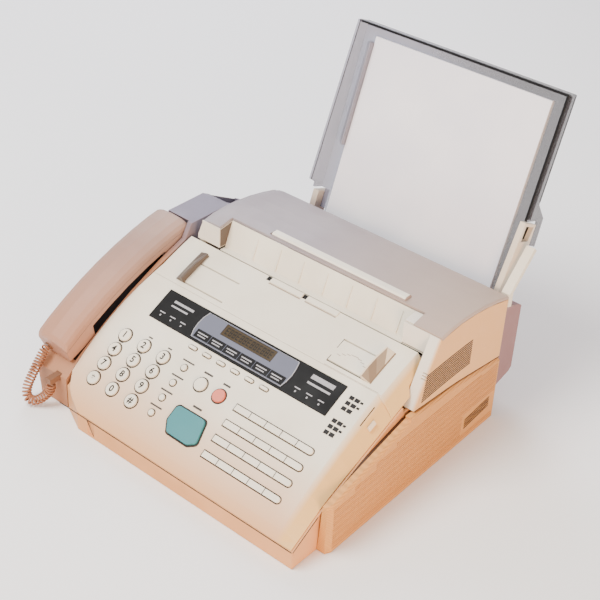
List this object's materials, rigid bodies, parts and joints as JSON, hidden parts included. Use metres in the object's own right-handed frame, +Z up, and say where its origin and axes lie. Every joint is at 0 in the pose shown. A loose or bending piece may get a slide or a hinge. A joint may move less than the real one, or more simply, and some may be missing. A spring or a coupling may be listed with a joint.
{
  "type": "fax machine",
  "caption": "Plain-paper desktop fax machine with a cradled handset on a curly cord, a key panel, a document feeder, a covered printer and an upright sheet tray.",
  "frame": {"origin": "bottom centre of the machine's bounding box without the cord, on the table", "axes": "+X to the machine's right, +Y to its back, +Z up"},
  "size_m": [0.3726, 0.4118, 0.3264],
  "materials": {
    "base_chassis": "fine moulded texture, ivory",
    "base_plug": "moulded plug",
    "carriage_rod": "polished",
    "display_bezel": "glossy black",
    "display_panel": "satin, blue grey",
    "document_roller": "matte rubber",
    "drive_motor": "zinc plated",
    "feeder_table": "fine moulded texture, ivory",
    "function_keys": "fine moulded texture, ivory",
    "handset_bottom_shell": "satin, pinkish beige",
    "handset_cord": "soft vinyl",
    "handset_cradle": "fine moulded texture, grey lavender",
    "handset_plug": "moulded plug",
    "handset_top_shell": "satin, pinkish beige",
    "hinge_rod": "brushed",
    "hook_switch": "fine moulded texture, ivory",
    "image_sensor": "matte black",
    "ink_cartridge": "matte black",
    "key_0": "fine moulded texture, ivory",
    "key_1": "fine moulded texture, ivory",
    "key_2": "fine moulded texture, ivory",
    "key_3": "fine moulded texture, ivory",
    "key_4": "fine moulded texture, ivory",
    "key_5": "fine moulded texture, ivory",
    "key_6": "fine moulded texture, ivory",
    "key_7": "fine moulded texture, ivory",
    "key_8": "fine moulded texture, ivory",
    "key_9": "fine moulded texture, ivory",
    "key_board": "printed circuit board",
    "key_hash": "fine moulded texture, ivory",
    "key_star": "fine moulded texture, ivory",
    "lcd_module": "glossy, olive",
    "left_document_guide": "satin, taupe",
    "main_board": "printed circuit board",
    "menu_keys": "fine moulded texture, ivory",
    "monitor_speaker": "matte black",
    "motor_gear": "sintered steel",
    "operation_panel": "fine moulded texture, ivory",
    "output_ramp": "fine moulded texture, ivory",
    "panel_catch": "fine moulded texture, ivory",
    "paper_guide": "smoky clear",
    "paper_release_lever": "fine moulded texture, ivory",
    "paper_stack": "plain white paper sheets",
    "paper_tray": "smoky clear",
    "platen_roller": "matte rubber",
    "power_supply": "zinc plated shield",
    "print_carriage": "matte black",
    "printer_cover": "fine moulded texture, lavender grey",
    "printer_housing": "fine moulded texture, ivory",
    "rapid_row_1": "fine moulded texture, ivory",
    "rapid_row_2": "fine moulded texture, ivory",
    "rapid_row_3": "fine moulded texture, ivory",
    "rapid_row_4": "fine moulded texture, ivory",
    "rear_feed_housing": "fine moulded texture, ivory",
    "right_document_guide": "fine moulded texture, ivory",
    "right_side_cover": "fine moulded texture, ivory",
    "roller_gear": "fine moulded texture, ivory",
    "speaker_key": "fine moulded texture, ivory",
    "start_key": "satin, teal",
    "stop_key": "satin, salmon"
  },
  "bodies": {
    "base": {"base_chassis": "base_chassis", "right_side_cover": "right_side_cover", "handset_cradle": "handset_cradle", "printer_housing": "printer_housing", "output_ramp": "output_ramp", "rear_feed_housing": "rear_feed_housing", "hinge_rod": "hinge_rod", "carriage_rod": "carriage_rod", "main_board": "main_board", "power_supply": "power_supply", "image_sensor": "image_sensor", "monitor_speaker": "monitor_speaker", "drive_motor": "drive_motor", "paper_stack": "paper_stack", "handset_cord": "handset_cord", "base_plug": "base_plug"},
    "operation_unit": {"operation_panel": "operation_panel", "feeder_table": "feeder_table", "display_bezel": "display_bezel", "display_panel": "display_panel", "lcd_module": "lcd_module", "key_board": "key_board"},
    "printer_cover": {"printer_cover": "printer_cover"},
    "paper_tray": {"paper_tray": "paper_tray"},
    "paper_guide": {"paper_guide": "paper_guide"},
    "paper_release_lever": {"paper_release_lever": "paper_release_lever"},
    "document_roller": {"document_roller": "document_roller", "roller_gear": "roller_gear"},
    "motor_gear": {"motor_gear": "motor_gear"},
    "platen_roller": {"platen_roller": "platen_roller"},
    "print_carriage": {"print_carriage": "print_carriage", "ink_cartridge": "ink_cartridge"},
    "handset": {"handset_top_shell": "handset_top_shell", "handset_bottom_shell": "handset_bottom_shell", "handset_plug": "handset_plug"},
    "hook_switch": {"hook_switch": "hook_switch"},
    "left_document_guide": {"left_document_guide": "left_document_guide"},
    "right_document_guide": {"right_document_guide": "right_document_guide"},
    "panel_catch": {"panel_catch": "panel_catch"},
    "key_1": {"key_1": "key_1"},
    "key_2": {"key_2": "key_2"},
    "key_3": {"key_3": "key_3"},
    "key_4": {"key_4": "key_4"},
    "key_5": {"key_5": "key_5"},
    "key_6": {"key_6": "key_6"},
    "key_7": {"key_7": "key_7"},
    "key_8": {"key_8": "key_8"},
    "key_9": {"key_9": "key_9"},
    "key_star": {"key_star": "key_star"},
    "key_0": {"key_0": "key_0"},
    "key_hash": {"key_hash": "key_hash"},
    "speaker_key": {"speaker_key": "speaker_key"},
    "stop_key": {"stop_key": "stop_key"},
    "start_key": {"start_key": "start_key"},
    "function_keys": {"function_keys": "function_keys"},
    "menu_keys": {"menu_keys": "menu_keys"},
    "rapid_row_1": {"rapid_row_1": "rapid_row_1"},
    "rapid_row_2": {"rapid_row_2": "rapid_row_2"},
    "rapid_row_3": {"rapid_row_3": "rapid_row_3"},
    "rapid_row_4": {"rapid_row_4": "rapid_row_4"}
  },
  "joints": [
    {"name": "operation_unit_hinge", "type": "hinge", "parent": "base", "child": "operation_unit", "pos_m": [0.0202, -0.0252, 0.117], "axis": [-1, 0, 0], "range_deg": [0, 30]},
    {"name": "key_1_press", "type": "slide", "parent": "operation_unit", "child": "key_1", "axis": [0, 0.5176, -0.8556], "range_m": [0, 0.0015], "stiffness_N_per_m": 300, "springref_m": -0.001},
    {"name": "key_2_press", "type": "slide", "parent": "operation_unit", "child": "key_2", "axis": [0, 0.5176, -0.8556], "range_m": [0, 0.0015], "stiffness_N_per_m": 300, "springref_m": -0.001},
    {"name": "key_3_press", "type": "slide", "parent": "operation_unit", "child": "key_3", "axis": [0, 0.5176, -0.8556], "range_m": [0, 0.0015], "stiffness_N_per_m": 300, "springref_m": -0.001},
    {"name": "key_4_press", "type": "slide", "parent": "operation_unit", "child": "key_4", "axis": [0, 0.5391, -0.8423], "range_m": [0, 0.0015], "stiffness_N_per_m": 300, "springref_m": -0.001},
    {"name": "key_5_press", "type": "slide", "parent": "operation_unit", "child": "key_5", "axis": [0, 0.5391, -0.8423], "range_m": [0, 0.0015], "stiffness_N_per_m": 300, "springref_m": -0.001},
    {"name": "key_6_press", "type": "slide", "parent": "operation_unit", "child": "key_6", "axis": [0, 0.5391, -0.8423], "range_m": [0, 0.0015], "stiffness_N_per_m": 300, "springref_m": -0.001},
    {"name": "key_7_press", "type": "slide", "parent": "operation_unit", "child": "key_7", "axis": [0, 0.5591, -0.8291], "range_m": [0, 0.0015], "stiffness_N_per_m": 300, "springref_m": -0.001},
    {"name": "key_8_press", "type": "slide", "parent": "operation_unit", "child": "key_8", "axis": [0, 0.5591, -0.8291], "range_m": [0, 0.0015], "stiffness_N_per_m": 300, "springref_m": -0.001},
    {"name": "key_9_press", "type": "slide", "parent": "operation_unit", "child": "key_9", "axis": [0, 0.5591, -0.8291], "range_m": [0, 0.0015], "stiffness_N_per_m": 300, "springref_m": -0.001},
    {"name": "key_star_press", "type": "slide", "parent": "operation_unit", "child": "key_star", "axis": [0, 0.5782, -0.8159], "range_m": [0, 0.0015], "stiffness_N_per_m": 300, "springref_m": -0.001},
    {"name": "key_0_press", "type": "slide", "parent": "operation_unit", "child": "key_0", "axis": [0, 0.5782, -0.8159], "range_m": [0, 0.0015], "stiffness_N_per_m": 300, "springref_m": -0.001},
    {"name": "key_hash_press", "type": "slide", "parent": "operation_unit", "child": "key_hash", "axis": [0, 0.5782, -0.8159], "range_m": [0, 0.0015], "stiffness_N_per_m": 300, "springref_m": -0.001},
    {"name": "speaker_key_press", "type": "slide", "parent": "operation_unit", "child": "speaker_key", "axis": [0, 0.5229, -0.8524], "range_m": [0, 0.0015], "stiffness_N_per_m": 300, "springref_m": -0.001},
    {"name": "stop_key_press", "type": "slide", "parent": "operation_unit", "child": "stop_key", "axis": [0, 0.5236, -0.8519], "range_m": [0, 0.0015], "stiffness_N_per_m": 300, "springref_m": -0.001},
    {"name": "start_key_press", "type": "slide", "parent": "operation_unit", "child": "start_key", "axis": [0, 0.5697, -0.8219], "range_m": [0, 0.0015], "stiffness_N_per_m": 300, "springref_m": -0.001},
    {"name": "function_keys_press", "type": "slide", "parent": "operation_unit", "child": "function_keys", "axis": [0, 0.5475, -0.8368], "range_m": [0, 0.0015], "stiffness_N_per_m": 300, "springref_m": -0.001},
    {"name": "menu_keys_press", "type": "slide", "parent": "operation_unit", "child": "menu_keys", "axis": [0, 0.4868, -0.8735], "range_m": [0, 0.0015], "stiffness_N_per_m": 300, "springref_m": -0.001},
    {"name": "rapid_row_1_press", "type": "slide", "parent": "operation_unit", "child": "rapid_row_1", "axis": [0, 0.5248, -0.8512], "range_m": [0, 0.0015], "stiffness_N_per_m": 300, "springref_m": -0.001},
    {"name": "rapid_row_2_press", "type": "slide", "parent": "operation_unit", "child": "rapid_row_2", "axis": [0, 0.5461, -0.8377], "range_m": [0, 0.0015], "stiffness_N_per_m": 300, "springref_m": -0.001},
    {"name": "rapid_row_3_press", "type": "slide", "parent": "operation_unit", "child": "rapid_row_3", "axis": [0, 0.5653, -0.8249], "range_m": [0, 0.0015], "stiffness_N_per_m": 300, "springref_m": -0.001},
    {"name": "rapid_row_4_press", "type": "slide", "parent": "operation_unit", "child": "rapid_row_4", "axis": [0, 0.5839, -0.8118], "range_m": [0, 0.0015], "stiffness_N_per_m": 300, "springref_m": -0.001},
    {"name": "left_guide_slide", "type": "slide", "parent": "operation_unit", "child": "left_document_guide", "axis": [1, 0, 0], "range_m": [0, 0.034]},
    {"name": "right_guide_slide", "type": "slide", "parent": "operation_unit", "child": "right_document_guide", "axis": [1, 0, 0], "range_m": [-0.034, 0]},
    {"name": "panel_catch_slide", "type": "slide", "parent": "operation_unit", "child": "panel_catch", "axis": [0, 0.9054, 0.4246], "range_m": [0, 0.003], "stiffness_N_per_m": 300, "springref_m": -0.001},
    {"name": "printer_cover_hinge", "type": "hinge", "parent": "base", "child": "printer_cover", "pos_m": [0.0316, 0.1033, 0.1437], "axis": [-1, 0, 0], "range_deg": [0, 60]},
    {"name": "paper_tray_lift", "type": "slide", "parent": "base", "child": "paper_tray", "axis": [0, 0.3404, 0.9403], "range_m": [0, 0.03]},
    {"name": "paper_guide_slide", "type": "slide", "parent": "paper_tray", "child": "paper_guide", "axis": [1, 0, 0], "range_m": [-0.007, 0]},
    {"name": "paper_release_hinge", "type": "hinge", "parent": "base", "child": "paper_release_lever", "pos_m": [0.1702, 0.1083, 0.1365], "axis": [-1, 0, 0], "range_deg": [0, 12]},
    {"name": "document_roller_spin", "type": "hinge", "parent": "base", "child": "document_roller", "pos_m": [0.0292, -0.0492, 0.075], "axis": [1, 0, 0], "continuous": true},
    {"name": "motor_gear_spin", "type": "hinge", "parent": "base", "child": "motor_gear", "pos_m": [-0.0793, -0.0492, 0.059], "axis": [1, 0, 0], "continuous": true},
    {"name": "platen_roller_spin", "type": "hinge", "parent": "base", "child": "platen_roller", "pos_m": [0.0302, 0.0268, 0.106], "axis": [1, 0, 0], "continuous": true},
    {"name": "print_carriage_slide", "type": "slide", "parent": "base", "child": "print_carriage", "axis": [-1, 0, 0], "range_m": [-0.08, 0.08]},
    {"name": "handset_lift", "type": "slide", "parent": "base", "child": "handset", "axis": [0, -0.3875, 0.9219], "range_m": [0, 0.06]},
    {"name": "hook_switch_rise", "type": "slide", "parent": "base", "child": "hook_switch", "axis": [0, -0.3875, 0.9219], "range_m": [0, 0.003]}
  ],
  "couplings": [
    {"joint": "right_guide_slide", "follows": "left_guide_slide", "ratio": -1},
    {"joint": "motor_gear_spin", "follows": "document_roller_spin", "ratio": -1.6667},
    {"joint": "hook_switch_rise", "follows": "handset_lift", "ratio": 0.05}
  ]
}
